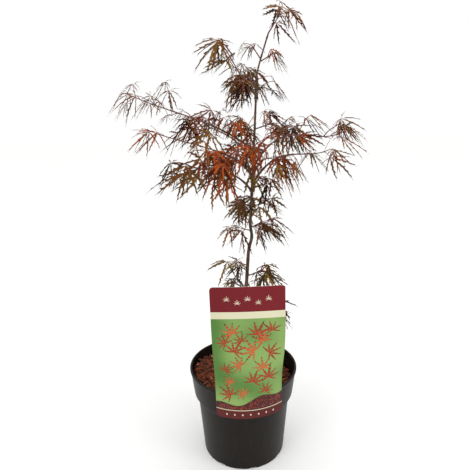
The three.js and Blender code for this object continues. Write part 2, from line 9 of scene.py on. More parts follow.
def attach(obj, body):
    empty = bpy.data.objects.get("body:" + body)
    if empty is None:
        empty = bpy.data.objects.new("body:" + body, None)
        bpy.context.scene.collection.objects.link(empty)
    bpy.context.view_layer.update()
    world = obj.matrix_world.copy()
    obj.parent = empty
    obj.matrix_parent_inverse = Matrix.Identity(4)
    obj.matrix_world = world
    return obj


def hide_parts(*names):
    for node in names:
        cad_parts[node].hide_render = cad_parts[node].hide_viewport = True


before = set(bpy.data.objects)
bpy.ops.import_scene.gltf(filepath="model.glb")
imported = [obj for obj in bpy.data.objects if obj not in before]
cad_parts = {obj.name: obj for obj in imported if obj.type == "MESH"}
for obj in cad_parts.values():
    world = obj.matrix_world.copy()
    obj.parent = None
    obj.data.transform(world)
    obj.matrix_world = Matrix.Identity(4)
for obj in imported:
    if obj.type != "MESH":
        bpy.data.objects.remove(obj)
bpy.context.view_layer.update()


# The camera stands a little higher than the crown's middle and looks down at the plant, rolled by a degree.
# Its lens is given in pixels of a square frame, and its sensor is the usual 36 mm.
def placed(name, data):
    """A new object in the scene."""
    made = bpy.data.objects.new(name, data)
    bpy.context.scene.collection.objects.link(made)
    return made


frame_pixels = 470
focal_pixels = 480
sensor_mm = 36
camera_at = (0, -0.7611, 0.6340)
pitch, yaw, roll = (math.radians(angle) for angle in (16.618, -0.807, -0.962))
looks_down = Matrix.Rotation(math.pi / 2 - pitch, 4, "X") @ Matrix.Rotation(roll, 4, "Z")
camera_data = bpy.data.cameras.new("camera")
camera_data.sensor_width = sensor_mm
camera_data.lens = sensor_mm * focal_pixels / frame_pixels
camera_data.clip_start = 0.05
camera = placed("camera", camera_data)
camera.matrix_world = Matrix.Translation(camera_at) @ Matrix.Rotation(-yaw, 4, "Z") @ looks_down
bpy.context.scene.camera = camera


# The studio: a wide pale floor under an even white sky, with one large soft lamp high on the left and a
# weaker one on the right. Colours are shown as they are, without a film curve.
class Wire:
    """A shader socket that Python's signs work on: numbers and sockets go into Math nodes."""

    def __init__(self, finish, socket):
        self.finish = finish
        self.socket = socket

    def reckon(self, operation, other):
        return self.finish.node("Math", {"operation": operation}, {0: self, 1: other})

    def __add__(self, other):
        return self.reckon("ADD", other)

    def __mul__(self, other):
        return self.reckon("MULTIPLY", other)

    def __gt__(self, other):
        return self.reckon("GREATER_THAN", other)

    __radd__ = __add__
    __rmul__ = __mul__


class Finish:
    """A material. node() is the only way in which a node is added to it."""

    def __init__(self, name, **constants):
        self.material = bpy.data.materials.new(name)
        self.material.use_nodes = True
        self.tree = self.material.node_tree
        for socket, value in constants.items():
            self.surface(socket.replace("_", " "), value)

    def node(self, kind, settings=None, sockets=None, out=0):
        made = self.tree.nodes.new("ShaderNode" + kind)
        for name, value in (settings or {}).items():
            setattr(made, name, value)
        for name, value in (sockets or {}).items():
            self.feed(made.inputs[name], value)
        return Wire(self, made.outputs[out])

    def feed(self, socket, value):
        if isinstance(value, Wire):
            self.tree.links.new(value.socket, socket)
        else:
            socket.default_value = value

    def surface(self, socket, value):
        self.feed(self.tree.nodes["Principled BSDF"].inputs[socket], value)

    def noise(self, size, stretch=(1, 1, 1), detail=3, rough=0.55):
        """Soft blotches about size millimetres across, from 0 to 1. A stretch under 1 draws them out."""
        scaled = {0: self.node("TexCoord", out=3), 1: [1000 * share for share in stretch]}
        where = self.node("VectorMath", {"operation": "MULTIPLY"}, scaled)
        sockets = {"Vector": where, "Scale": 1 / size, "Detail": detail, "Roughness": rough}
        return self.node("TexNoise", None, sockets)

    def between(self, value, low, high):
        """value brought from low..high to 0..1, and kept there."""
        sockets = {"Value": value, "From Min": low, "From Max": high}
        return self.node("MapRange", {"interpolation_type": "SMOOTHSTEP"}, sockets)

    def mix(self, share, first, second):
        return self.node("Mix", {"data_type": "RGBA"}, {0: share, 6: first, 7: second}, out=2)

    def relief(self, height, depth):
        """Bumps whose height of 1 stands depth millimetres proud."""
        bump = self.node("Bump", None, {"Height": height, "Distance": depth / 1000, "Strength": 1})
        self.surface("Normal", bump)


def shade(red, green, blue):
    """A screen colour from 0 to 255 as the shader's own numbers."""
    parts = (value / 255 for value in (red, green, blue))
    return (*(p / 12.92 if p < 0.04045 else ((p + 0.055) / 1.055) ** 2.4 for p in parts), 1)


def shape(name, points, faces, finishes, paint=None, smooth=True):
    """A mesh object from points in millimetres. Each array in faces has one number of corners."""
    groups = [np.asarray(group, np.int32) for group in faces if len(group)]
    totals = np.concatenate([np.full(len(group), group.shape[1]) for group in groups])
    corners = np.concatenate([group.ravel() for group in groups])
    mesh = bpy.data.meshes.new(name)
    mesh.vertices.add(len(points))
    mesh.vertices.foreach_set("co", (np.asarray(points, float) / 1000).astype(np.float32).ravel())
    mesh.loops.add(len(corners))
    mesh.loops.foreach_set("vertex_index", corners)
    mesh.polygons.add(len(totals))
    mesh.polygons.foreach_set("loop_start", (np.cumsum(totals) - totals).astype(np.int32))
    mesh.polygons.foreach_set("use_smooth", np.full(len(totals), smooth))
    if paint is not None:
        mesh.polygons.foreach_set("material_index", np.asarray(paint, np.int32))
    for finish in finishes:
        mesh.materials.append(finish.material)
    mesh.update(calc_edges=True)
    mesh.validate()
    return placed(name, mesh)


floor_half = 6000
floor_finish = Finish("pale_floor", Base_Color=shade(255, 255, 254), Roughness=0.9, Specular_IOR_Level=0.2)
floor_corners = [(x, y, 0) for x, y in ((-1, -1), (1, -1), (1, 1), (-1, 1))]
floor = shape("floor", np.array(floor_corners) * floor_half, [[(0, 1, 2, 3)]], [floor_finish])

sky = bpy.data.worlds.new("white_sky")
sky.use_nodes = True
sky_light = sky.node_tree.nodes["Background"].inputs
sky_light["Color"].default_value = shade(255, 255, 255)
sky_light["Strength"].default_value = 1
bpy.context.scene.world = sky
bpy.context.scene.view_settings.view_transform = "Standard"


def soft_lamp(name, at, aim, size, power):
    lamp_data = bpy.data.lights.new(name, "AREA")
    lamp_data.shape = "DISK"
    lamp_data.size = size
    lamp_data.energy = power
    lamp = placed(name, lamp_data)
    lamp.location = at
    lamp.rotation_mode = "QUATERNION"
    lamp.rotation_quaternion = (Vector(aim) - Vector(at)).to_track_quat("-Z", "Y")


soft_lamp("main_lamp", at=(-1.1, -1.5, 1.9), aim=(0, 0, 0.45), size=1.1, power=9)
soft_lamp("side_lamp", at=(1.6, -0.9, 1.1), aim=(0, 0, 0.35), size=0.9, power=6)


# The pot is one moulded shell of black polypropylene: a tapering wall under a wider collar that ends in a
# rolled lip, and eight drain notches cut into the edge of its foot, 2 mm thick all over.
pot = Values(
    height=165, rim=95, lip=4.5, lip_out=1.4, collar_height=46, collar=88.6, shoulder=6,
    wall_radius=82.1, foot=73.1, wall=2, floor=2.6, sides=160,
)
notch = Values(count=8, width=13, depth=7, height=3.2, turn=12)


def rounded(corners, step=5, turns=6):
    """A line through corners (radius, height, bend), with each corner bent and long stretches divided."""
    line = [Vector(corners[0][:2])]
    for i, (radius, height, bend) in enumerate(corners[1:], 1):
        here = Vector((radius, height))
        arc = [here]
        if bend:
            back = (Vector(corners[i - 1][:2]) - here).normalized() * bend
            on = (Vector(corners[i + 1][:2]) - here).normalized() * bend
            arc = [here + back * (1 - k / turns) ** 2 + on * (k / turns) ** 2 for k in range(turns + 1)]
        span = arc[0] - line[-1]
        parts = max(1, round(span.length / step))
        line += [line[-1] + span * (k / parts) for k in range(1, parts)] + arc
    return np.array(line)


def around(count):
    """Angles of evenly spaced points round a circle."""
    return np.arange(count) * 2 * math.pi / count


def quads(rows, columns, closed=True):
    """The faces between rows of points. A closed row joins its last point to its first."""
    low = np.arange(rows - 1)[:, None] * columns + np.arange(columns)
    on = np.roll(low, -1, axis=1)
    faces = np.stack([low, on, on + columns, low + columns], -1)
    return (faces if closed else faces[:, :-1]).reshape(-1, 4)


def spin(points, degrees, first, second):
    """Points turned from one axis towards another."""
    cos, sin = np.cos(np.radians(degrees)), np.sin(np.radians(degrees))
    spun = points.copy()
    spun[..., first] = points[..., first] * cos - points[..., second] * sin
    spun[..., second] = points[..., first] * sin + points[..., second] * cos
    return spun


collar_foot = pot.height - pot.collar_height
pot_line = rounded([
    (0.01, 0, 0),
    (pot.foot, 0, 2.4),
    (pot.wall_radius, collar_foot - pot.shoulder, 1.2),
    (pot.collar - 0.4, collar_foot - 2.2, 1),
    (pot.collar, collar_foot, 0.6),
    (pot.rim - pot.lip_out, pot.height - pot.lip, 0.5),
    (pot.rim, pot.height - pot.lip + 1, 0.6),
    (pot.rim, pot.height, 1.3),
    (pot.rim - pot.lip_out - pot.wall, pot.height, 0.8),
    (pot.rim - pot.lip_out - pot.wall, pot.height - pot.lip, 1),
    (pot.collar - pot.wall, collar_foot + 0.4, 1.5),
    (pot.wall_radius - pot.wall, collar_foot - pot.shoulder + 1.2, 1.5),
    (pot.foot - pot.wall, pot.floor, 3),
    (0.01, pot.floor, 0),
])
pot_ring = np.stack([np.cos(around(pot.sides)), np.sin(around(pot.sides))], 1)
pot_points = np.array([(*(radius * way), z) for radius, z in pot_line for way in pot_ring])

pot_finish = Finish("black_polypropylene", Specular_IOR_Level=0.16)
mottle = pot_finish.noise(38, detail=4)
scuffs = pot_finish.noise(5, stretch=(1, 1, 0.16), detail=5, rough=0.7)
grain = pot_finish.noise(0.7, detail=2)
worn = pot_finish.between(scuffs, 0.56, 0.72)
black = pot_finish.mix(mottle, shade(16, 11, 7), shade(25, 19, 14))
pot_finish.surface("Base Color", pot_finish.mix(worn * 0.35, black, shade(66, 62, 58)))
pot_finish.surface("Roughness", 0.34 + mottle * 0.14 + worn * 0.12)
pot_finish.relief(mottle * 0.5 + grain * 0.12 + scuffs * 0.1, 0.12)

pot_shell = shape("pot_shell", pot_points, [quads(len(pot_line), pot.sides)], [pot_finish])
block_corners = np.array([(x, y, z) for x in (-1, 1) for y in (-1, 1) for z in (-1, 1)])
block_sides = [(0, 1, 3, 2), (4, 6, 7, 5), (0, 4, 5, 1), (2, 3, 7, 6), (0, 2, 6, 4), (1, 5, 7, 3)]
block_points = []
for i in range(notch.count):
    block = block_corners * (notch.depth, notch.width / 2, notch.height) + (pot.foot, 0, 0)
    block_points.append(spin(block, notch.turn + 360 * i / notch.count, 0, 1))
block_faces = np.concatenate([np.add(block_sides, 8 * i) for i in range(notch.count)])
notch_blocks = shape("notch_blocks", np.concatenate(block_points), [block_faces], [pot_finish])
cut = pot_shell.modifiers.new("drain_notches", "BOOLEAN")
cut.operation = "DIFFERENCE"
cut.object = notch_blocks
bpy.context.view_layer.update()
cut_mesh = bpy.data.meshes.new_from_object(pot_shell.evaluated_get(bpy.context.evaluated_depsgraph_get()))
pot_shell.modifiers.clear()
pot_shell.data = cut_mesh
cut_mesh.set_sharp_from_angle(angle=math.radians(40))
bpy.data.objects.remove(notch_blocks)
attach(pot_shell, "root")
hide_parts("pot")


# The potting bark fills the pot almost to its rim: composted pine chips over fine dark crumbs. It is heaped
# where the trunk stands, falls away to the right and the back, and loose chips lie all over it.
bark_bed = Values(
    level=147, fall_x=0.1, fall_y=0.07, flat=19, wild=42, edge_from=70, edge_to=88, edge_low=2.5, gap=0.5,
    rings=84, spokes=220, skirt=14, sunk=0.8, waves=26, wave=0.55, crumb=0.42, calm_from=4, calm_to=12,
)
bark_lumps = ((1.6, 0.16, 0.13, 1.3), (1.2, 0.33, -0.27, 0), (1, 0.21, 0.37, 2))


def eased(value, low, high):
    share = np.clip((value - low) / (high - low), 0, 1)
    return share * share * (3 - 2 * share)


def bark_level(x, y):
    radius = np.hypot(x, y)
    lumps = sum(size * np.sin(in_x * x + in_y * y + shift) for size, in_x, in_y, shift in bark_lumps)
    edge = bark_bed.edge_low * eased(radius, bark_bed.edge_from, bark_bed.edge_to)
    wild = eased(radius, bark_bed.flat, bark_bed.wild)
    return bark_bed.level + wild * (lumps - bark_bed.fall_x * x - bark_bed.fall_y * y - edge)


def flipped(faces):
    """The same faces seen from their other side, with the same first corners."""
    return np.roll(faces[:, ::-1], 1, axis=1)


def wall_inside(z):
    """The radius of the pot's inner wall in its collar."""
    foot, top = pot.collar - pot.wall, pot.rim - pot.lip_out - pot.wall
    return foot + (top - foot) * (z - collar_foot) / (pot.collar_height - pot.lip)


crumb_draw = np.random.default_rng(31)
crumb_waves = crumb_draw.normal(size=(bark_bed.waves, 2)) * bark_bed.wave
crumb_shifts = crumb_draw.uniform(0, 2 * math.pi, bark_bed.waves)
bed_turn = around(bark_bed.spokes)
bed_share = (np.arange(bark_bed.rings + 1) / bark_bed.rings)[:, None] + 1e-4
edge_level = bark_level(bark_bed.edge_to * np.cos(bed_turn), bark_bed.edge_to * np.sin(bed_turn))
edge_radius = wall_inside(edge_level) - bark_bed.gap
bed_x = bed_share * edge_radius * np.cos(bed_turn)
bed_y = bed_share * edge_radius * np.sin(bed_turn)
crumbs = sum(np.sin(bed_x * wx + bed_y * wy + s) for (wx, wy), s in zip(crumb_waves, crumb_shifts))
calm = eased(np.hypot(bed_x, bed_y), bark_bed.calm_from, bark_bed.calm_to)
bed_z = bark_level(bed_x, bed_y) + bark_bed.crumb * crumbs * calm - bark_bed.sunk
bed_points = np.stack([bed_x, bed_y, bed_z], -1)
bed_points = np.concatenate([bed_points, bed_points[-1:] - (0, 0, bark_bed.skirt)]).reshape(-1, 3)
bed_faces = flipped(quads(bark_bed.rings + 2, bark_bed.spokes))

crumb_finish = Finish("dark_crumbs", Roughness=0.95, Specular_IOR_Level=0.2)
crumb_size = crumb_finish.noise(3.2, detail=5, rough=0.7)
crumb_tone = crumb_finish.noise(9, detail=4)
crumb_share = crumb_finish.between(crumb_tone, 0.4, 0.62)
crumb_colour = crumb_finish.mix(crumb_share, shade(50, 29, 19), shade(86, 49, 31))
light_crumbs = crumb_finish.between(crumb_size, 0.58, 0.7)
crumb_finish.surface("Base Color", crumb_finish.mix(light_crumbs * 0.7, crumb_colour, shade(96, 60, 40)))
crumb_finish.relief(crumb_size, 1.6)
bed = shape("potting_bark_bed", bed_points, [bed_faces], [crumb_finish])
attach(bed, "root")
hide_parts("potting_bark")

chip = Values(
    count=1500, spread=86, inmost=0.004, least=(5, 1.8, 0.7), more=(17, 4.2, 1.6), rarity=(2, 1.4, 1),
    heap=3.2, pitch=0.24, bank=0.4, uneven=0.13, warped=0.2, under=0.82, seat=0.3,
    kinds=(0.34, 0.34, 0.22, 0.1),
)
chip_draw = np.random.default_rng(8)
chip_radius = chip.spread * np.sqrt(chip_draw.uniform(chip.inmost, 1, chip.count))
chip_turn = chip_draw.uniform(0, 2 * math.pi, chip.count)
chip_size = chip_draw.uniform(0, 1, (chip.count, 3)) ** chip.rarity * chip.more + chip.least
chip_heap = chip_draw.uniform(0, 1, chip.count) ** 2 * chip.heap
chip_yaw = chip_draw.uniform(0, 2 * math.pi, chip.count)
chip_pitch, chip_bank = (chip_draw.normal(0, spread, chip.count) for spread in (chip.pitch, chip.bank))
chip_ring = np.array([(-0.5, -0.1), (-0.36, 0.46), (0.2, 0.5), (0.5, 0.18), (0.4, -0.42), (-0.1, -0.5)])
chip_outline = chip_ring + chip_draw.uniform(-chip.uneven, chip.uneven, (chip.count, 6, 2))
chip_shape = np.zeros((chip.count, 12, 3))
chip_shape[:, :6, :2] = chip_outline * chip.under
chip_shape[:, 6:, :2] = chip_outline
chip_shape[:, 6:, 2] = 1
chip_shape[:, :, 2] += chip_draw.uniform(-chip.warped, chip.warped, (chip.count, 12)) - 0.5
chip_shape *= chip_size[:, None, :]
for angles, first, second in ((chip_bank, 1, 2), (chip_pitch, 2, 0), (chip_yaw, 0, 1)):
    chip_shape = spin(chip_shape, np.degrees(angles)[:, None], first, second)
reach = np.hypot(chip_shape[:, :, 0], chip_shape[:, :, 1]).max(1)
chip_radius = np.minimum(chip_radius, edge_radius.min() - bark_bed.gap - reach)
chip_x, chip_y = chip_radius * np.cos(chip_turn), chip_radius * np.sin(chip_turn)
chip_z = bark_level(chip_x, chip_y) + chip_heap + chip_size[:, 2] * chip.seat
chip_shape += np.stack([chip_x, chip_y, chip_z], 1)[:, None, :]
chip_tops = np.array([range(6, 12), range(5, -1, -1)])
chip_start = 12 * np.arange(chip.count)[:, None, None]
chip_kind = chip_draw.choice(len(chip.kinds), chip.count, p=chip.kinds)
chip_paint = np.concatenate([np.repeat(chip_kind, 6), np.repeat(chip_kind, 2)])
chip_finishes = []
for name, dark, light in (
    ("chip_dark", shade(58, 31, 20), shade(92, 50, 32)),
    ("chip_brown", shade(86, 44, 27), shade(124, 67, 42)),
    ("chip_red", shade(116, 50, 29), shade(156, 76, 45)),
    ("chip_pale", shade(142, 88, 60), shade(184, 122, 86)),
):
    made = Finish(name, Roughness=0.88, Specular_IOR_Level=0.25)
    fibre = made.noise(1.6, stretch=(1, 0.5, 1), detail=4, rough=0.7)
    made.surface("Base Color", made.mix(made.between(fibre, 0.35, 0.65), dark, light))
    made.relief(fibre, 0.5)
    chip_finishes.append(made)
chip_faces = [(chip_start + quads(2, 6)).reshape(-1, 4), (chip_start + chip_tops).reshape(-1, 6)]
chips = shape("bark_chips", chip_shape.reshape(-1, 3), chip_faces, chip_finishes, chip_paint, smooth=False)
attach(chips, "root")


# The trunk is one thin live stem of brown wood, 570 mm tall: it leans to the right, has a knee low down and
# bends over near its tip. Fine ridges run up its bark, and rings mark where old leaf pairs fell.
trunk = Values(
    foot_x=-5, foot_z=147.3, top_z=716, lean=33.5, bow=3, weave=3, knee_z=403, knee=4, knee_length=15,
    bend_z=655, bend=0.3, bend_ease=14, foot_radius=3.7, top_radius=1.1, flare=4, flare_height=9,
    buried=6, rings=380, sides=20, joints=30, first_joint=160, joint_gap=(15, 27), ridge=0.028,
)
bough = Values(
    foot=1.9, tip=1.15, flare=1.1, flare_length=3.5, rings=44, sides=10, joints=8, joint_gap=(13, 22),
    ridge=0.03,
)
UP = np.array((0, 0, 1.0))


def part_way(low, high, share):
    return low + (high - low) * share


def trunk_point(z):
    z = np.asarray(z, float)
    rise = (z - trunk.foot_z) / (trunk.top_z - trunk.foot_z)
    over = np.maximum(0, z - trunk.bend_z)
    knee = trunk.knee * np.exp(-(((z - trunk.knee_z) / trunk.knee_length) ** 2))
    bow = trunk.bow * np.sin(math.pi * rise)
    bend = trunk.bend * over * over / (over + trunk.bend_ease)
    x = trunk.foot_x + trunk.lean * rise + bow + knee + bend
    return np.stack([x, trunk.weave * np.sin(2 * math.pi * rise), z], -1)


def trunk_radius(z):
    rise = (z - trunk.foot_z) / (trunk.top_z - trunk.foot_z)
    flare = trunk.flare * np.exp(-(z - trunk.foot_z) / trunk.flare_height)
    return part_way(trunk.foot_radius, trunk.top_radius, np.minimum(1, rise)) + flare


class Bundle:
    """Many small shapes gathered into one piece."""

    def __init__(self):
        self.points, self.faces, self.paint, self.count = [], [], [], 0

    def add(self, points, faces, paint=0):
        self.points.append(points)
        self.faces.append(np.asarray(faces) + self.count)
        self.paint.append(np.full(len(faces), paint))
        self.count += len(points)

    def piece(self, name, finishes, smooth=True):
        points, faces, paint = (np.concatenate(parts) for parts in (self.points, self.faces, self.paint))
        return shape(name, points, [faces], finishes, paint, smooth)


def limb_shell(line, radii, sides):
    """A tapering tube along a line. radii holds one radius for each point, or one for each corner."""
    line = np.asarray(line, float)
    ways = np.gradient(line, axis=0)
    ways /= np.linalg.norm(ways, axis=1)[:, None]
    side = np.array((0, 1.0, 0)) if abs(ways[0, 1]) < 0.9 else np.array((1.0, 0, 0))
    turn = around(sides)
    rings = []
    for at, way in zip(line, ways):
        side = side - way * (side @ way)
        side /= np.linalg.norm(side)
        rings.append(np.outer(np.cos(turn), side) + np.outer(np.sin(turn), np.cross(way, side)))
    radii = np.broadcast_to(np.asarray(radii).reshape(len(line), -1), (len(line), sides))
    points = line[:, None, :] + np.array(rings) * radii[:, :, None]
    tip = line[-1] + ways[-1] * radii[-1].mean() * 0.8 + (points[-1] - line[-1]) * 0.05
    return np.concatenate([points.reshape(-1, 3), tip]), quads(len(line) + 1, sides)


def barked(line, radii, lengths, form, joints, draw):
    """A limb's tube with bark: ridges run along it, and a joint swells it at each given length."""
    turn = around(form.sides)
    along = np.asarray(lengths)[:, None]
    relief = sum(
        draw.uniform(0.4, 1) * np.sin(k * turn + along * draw.uniform(-0.05, 0.05) + draw.uniform(0, 6))
        for k in (2, 3, 5, 7)
    )
    relief = relief + 0.8 * np.sin(along * 0.9 + 1.3 * np.sin(2 * turn + along * 0.13))
    swell = sum(np.exp(-(((along - joint) / 1.5) ** 2)) for joint in joints)
    radii = np.asarray(radii)[:, None] * (1 + form.ridge * relief) + 0.34 * swell
    return limb_shell(line, radii, form.sides)


# The limbs, from their tint to their number of shoots. The boughs among them have a bare share, an arch and a
# sway as well, and the tufts grow straight from the trunk.
limb_values = "name tint leaf nodes height azimuth length lift shoots bare arch sway".split()
limbs = {}
for row in (
    ("long_left", "bronze", 42, 4, 545, 184, 184, 86, 2, 0.4, 10, 6),
    ("mid_left", "ember", 50, 3, 514, 186, 150, 62, 0, 0.4, 8, -6),
    ("low_left", "bronze", 56, 3, 480, 202, 108, 51, 3, 0.36, 14, 8),
    ("front_left", "ember", 56, 3, 502, 230, 84, 32, 26, 0.34, 16, -6),
    ("front_middle", "brick", 52, 3, 531, 272, 66, 25, 9, 0.34, 12, 5),
    ("front_right", "ember", 54, 3, 506, 302, 72, 34, 6, 0.34, 16, 6),
    ("long_right_high", "brick", 50, 5, 518, 358, 134, 52, 8, 0.24, 30, -7),
    ("long_right_low", "bronze", 44, 2, 490, 356, 118, 55, 0, 0.56, 24, 5),
    ("low_right", "maroon", 50, 2, 480, 290, 32, 30, 1, 0.34, 8, 5),
    ("back_left", "brick", 54, 3, 526, 138, 116, 62, 3, 0.36, 16, 8),
    ("back_right", "bronze", 54, 3, 534, 62, 114, 32, 2, 0.36, 18, -8),
    ("back_middle", "brick", 56, 3, 496, 95, 106, 50, 5, 0.36, 14, 6),
    ("upper_left", "olive", 48, 3, 630, 192, 52, 72, 1, 0.3, -8, 5),
    ("upper_back", "olive", 44, 2, 624, 104, 54, 32, 7, 0.34, 8, -5),
    ("crown_tip", "bronze", 42, 2, 716, 2, 16, 24, 0),
    ("leader_right", "bronze", 38, 1, 676, 350, 16, 9, 0),
    ("leader_left", "olive", 32, 1, 680, 160, 14, 20, 1),
    ("upper_right", "maroon", 52, 2, 634, 318, 16, 10, 1),
    ("upper_low_left", "maroon", 50, 2, 640, 220, 34, 2, 9),
    ("heart_left", "ember", 50, 2, 568, 166, 42, 14, 8),
    ("heart_front", "brick", 52, 2, 574, 252, 34, 8, 6),
    ("heart_right", "ember", 52, 2, 578, 318, 34, 10, 7),
    ("knee_left", "olive", 46, 1, 470, 250, 16, 6, 8),
    ("knee_right", "maroon", 50, 2, 454, 352, 20, 8, 4),
    ("knee_back", "bronze", 50, 2, 440, 92, 28, 10, 1),
    ("waist_left", "bronze", 46, 1, 414, 196, 16, 5, 1),
    ("waist_right", "bronze", 52, 2, 420, 342, 20, 8, 12),
    ("low_twig_left", "olive", 44, 1, 352, 186, 12, 5, 1),
    ("low_twig_right", "olive", 54, 2, 333, 356, 26, 10, 2),
    ("foot_twig_right", "bronze", 50, 1, 266, 12, 50, 10, 1),
    ("foot_twig_back", "olive", 50, 1, 296, 112, 24, 12, 1),
):
    values = {"bare": 0, "arch": 0, "sway": 0, **dict(zip(limb_values, row))}
    limbs[row[0]] = Values(**values, place=len(limbs), seed=101 + 7 * len(limbs))


def heading(azimuth):
    return np.array((math.cos(math.radians(azimuth)), math.sin(math.radians(azimuth)), 0))


def limb_point(limb, t):
    """A point of a limb, t from 0 at the trunk to 1 at its tip."""
    t = np.asarray(t, float)[..., None]
    rise = limb.lift * t + limb.arch * 6.75 * t * (1 - t) ** 2
    out = heading(limb.azimuth) * limb.length * t
    aside = heading(limb.azimuth + 90) * limb.sway * np.sin(math.pi * t)
    return trunk_point(limb.height) + out + aside + UP * rise


wood_finish = Finish("maple_bark", Specular_IOR_Level=0.35)
streaks = wood_finish.noise(2.4, stretch=(1, 1, 0.14), detail=5, rough=0.65)
patches = wood_finish.noise(26, detail=3)
specks = wood_finish.noise(1.1, detail=2)
wood_base = wood_finish.mix(wood_finish.between(patches, 0.4, 0.62), shade(80, 51, 37), shade(96, 74, 50))
wood_dark = wood_finish.mix(wood_finish.between(streaks, 0.42, 0.66) * 0.7, wood_base, shade(50, 33, 26))
wood_finish.surface("Base Color", wood_finish.mix((specks > 0.66) * 0.5, wood_dark, shade(158, 132, 104)))
wood_finish.surface("Roughness", 0.5 + streaks * 0.35)
wood_finish.relief(streaks + specks * 0.3, 0.25)

bark_draw = np.random.default_rng(5)
limb_wood = Bundle()
trunk_z = np.linspace(trunk.foot_z - trunk.buried, trunk.top_z, trunk.rings)
trunk_joints = np.cumsum(bark_draw.uniform(*trunk.joint_gap, trunk.joints)) + trunk.first_joint
trunk_radii = trunk_radius(np.maximum(trunk_z, trunk.foot_z))
limb_wood.add(*barked(trunk_point(trunk_z), trunk_radii, trunk_z, trunk, trunk_joints, bark_draw))
for limb in limbs.values():
    if limb.bare:
        steps = np.linspace(0, limb.bare, bough.rings)
        lengths = steps * math.hypot(limb.length, limb.lift)
        radii = bough.foot + (bough.tip - bough.foot) * steps / limb.bare
        radii = radii + bough.flare * np.exp(-lengths / bough.flare_length)
        joints = np.cumsum(bark_draw.uniform(*bough.joint_gap, bough.joints))
        limb_wood.add(*barked(limb_point(limb, steps), radii, lengths, bough, joints, bark_draw))
trunk_and_boughs = limb_wood.piece("trunk_and_boughs", [wood_finish])
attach(trunk_and_boughs, "root")
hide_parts("trunk", *("bough_" + limb.name for limb in limbs.values() if limb.bare))


# The foliage grows from the limbs by one seeded rule: leaves stand in pairs along each twig, side twigs fork,
# and a spray keeps to the space round its own hanging line. Finer shoots fill in between the pairs.
twig = Values(length=(18, 32), foot=1.1, tip=0.65, sides=7, sunk=2.5, ridge=0.03, node=0.75, last_node=0.99)
side_twig = Values(arch=0.07, foot=0.9, tip=0.5525, rings=7, sides=6)
stalk = Values(length=(9, 24), arch=0.09, foot=0.62, tip=0.4, rings=6, sides=5)
hold = Values(
    flat_roll=8, steep_roll=50, roll_spread=36, forward=0.6, outward=0.5, turn=60, turn_more=8,
    dip=(26, 62), tip_droop=14, bank=116, size=(0.84, 1.14), shrink=0.025, fork=0.9, tip_spread=63,
    tip_rise=0.15, tries=16, clear=2.2,
)
space = Values(
    hang=0.2, over=1.12, reach=1.75, clear=2, limb_clear=1.2, limb=1.9, lowest=200, card_front=-72,
    card_top=372, bough_spans=5, site_spans=4, joint=0.3, far_below=5000, flare_shares=(0, 0.15, 0.35, 0.6),
    trunk_points=25,
)
sag = 0.13
fan = ((-84, 0.58), (-41, 0.88), (0, 1), (41, 0.88), (84, 0.58))


def seeded(seed):
    """Numbers from 0 to 1 that depend on the seed alone."""
    state = [(seed * 2654435761) & 0xFFFFFFFF]

    def draw():
        state[0] = (state[0] * 1664525 + 1013904223) & 0xFFFFFFFF
        return state[0] / 4294967296

    return draw


def unit(vector):
    return vector / math.sqrt(vector @ vector)


def turned(vector, axis, angle):
    """A vector turned about an axis by an angle in radians."""
    return (
        vector * math.cos(angle)
        + np.cross(axis, vector) * math.sin(angle)
        + axis * (axis @ vector) * (1 - math.cos(angle))
    )


def stretches(points, starts, ends):
    """How far each point is from each of the stretches between starts and ends."""
    ways = ends - starts
    share = ((points[:, None, :] - starts) * ways).sum(2) / (ways * ways).sum(1)
    near = starts + np.clip(share, 0, 1)[..., None] * ways
    return np.sqrt(((points[:, None, :] - near) ** 2).sum(2))


for limb in limbs.values():
    limb.start = limb.bare + space.joint / math.hypot(limb.length, limb.lift) if limb.bare else 0
    bough_line = limb_point(limb, np.linspace(0, limb.start, space.bough_spans + 1))
    if not limb.bare:
        bough_line = bough_line + np.arange(space.bough_spans + 1)[:, None] * UP - space.far_below * UP
    twig_line = limb_point(limb, np.linspace(limb.start, 1, limb.nodes + 1))
    site_line = limb_point(limb, np.linspace(limb.start, space.over, space.site_spans + 1))
    limb.lines = [bough_line, twig_line, site_line - UP * limb.leaf * space.hang]
flare_top = trunk.foot_z + 3 * trunk.flare_height
flare_heights = part_way(trunk.foot_z, flare_top, np.array(space.flare_shares))
trunk_heights = [*flare_heights, *np.linspace(flare_top, trunk.top_z, space.trunk_points)]
all_lines = [line for limb in limbs.values() for line in limb.lines] + [trunk_point(trunk_heights)]
all_starts = np.concatenate([line[:-1] for line in all_lines])
all_ends = np.concatenate([line[1:] for line in all_lines])
all_firsts = np.cumsum([0] + [len(line) - 1 for line in all_lines[:-1]])


def free(points, limb):
    """Which points may hold a leaf or twig of this limb."""
    points = np.atleast_2d(points)
    near = np.minimum.reduceat(stretches(points, all_starts, all_ends), all_firsts, axis=1)
    boughs, twigs, sites = (near[:, kind:-1:3] for kind in range(3))
    own = sites[:, limb.place]
    others = np.arange(len(limbs)) != limb.place
    limb_room = space.limb + space.limb_clear
    z = points[:, 2]
    return (
        (z >= space.lowest)
        & ~((points[:, 1] < space.card_front) & (z < space.card_top))
        & (own <= limb.leaf * space.reach)
        & (near[:, -1] >= trunk_radius(z) + space.limb_clear)
        & (boughs >= limb_room).all(1)
        & (twigs[:, others] > limb_room).all(1)
        & (sites[:, others] > own[:, None] + space.clear).all(1)
    )


def lobe_points(leaf, angle, length_share, shares):
    """Points on a lobe's middle line, bent down by its own weight."""
    length = leaf.size * length_share
    way = leaf.forward * math.cos(math.radians(angle)) + leaf.side * math.sin(math.radians(angle))
    shares = np.asarray(shares, float)[:, None]
    return leaf.hub + way * length * shares - UP * sag * length * shares**2


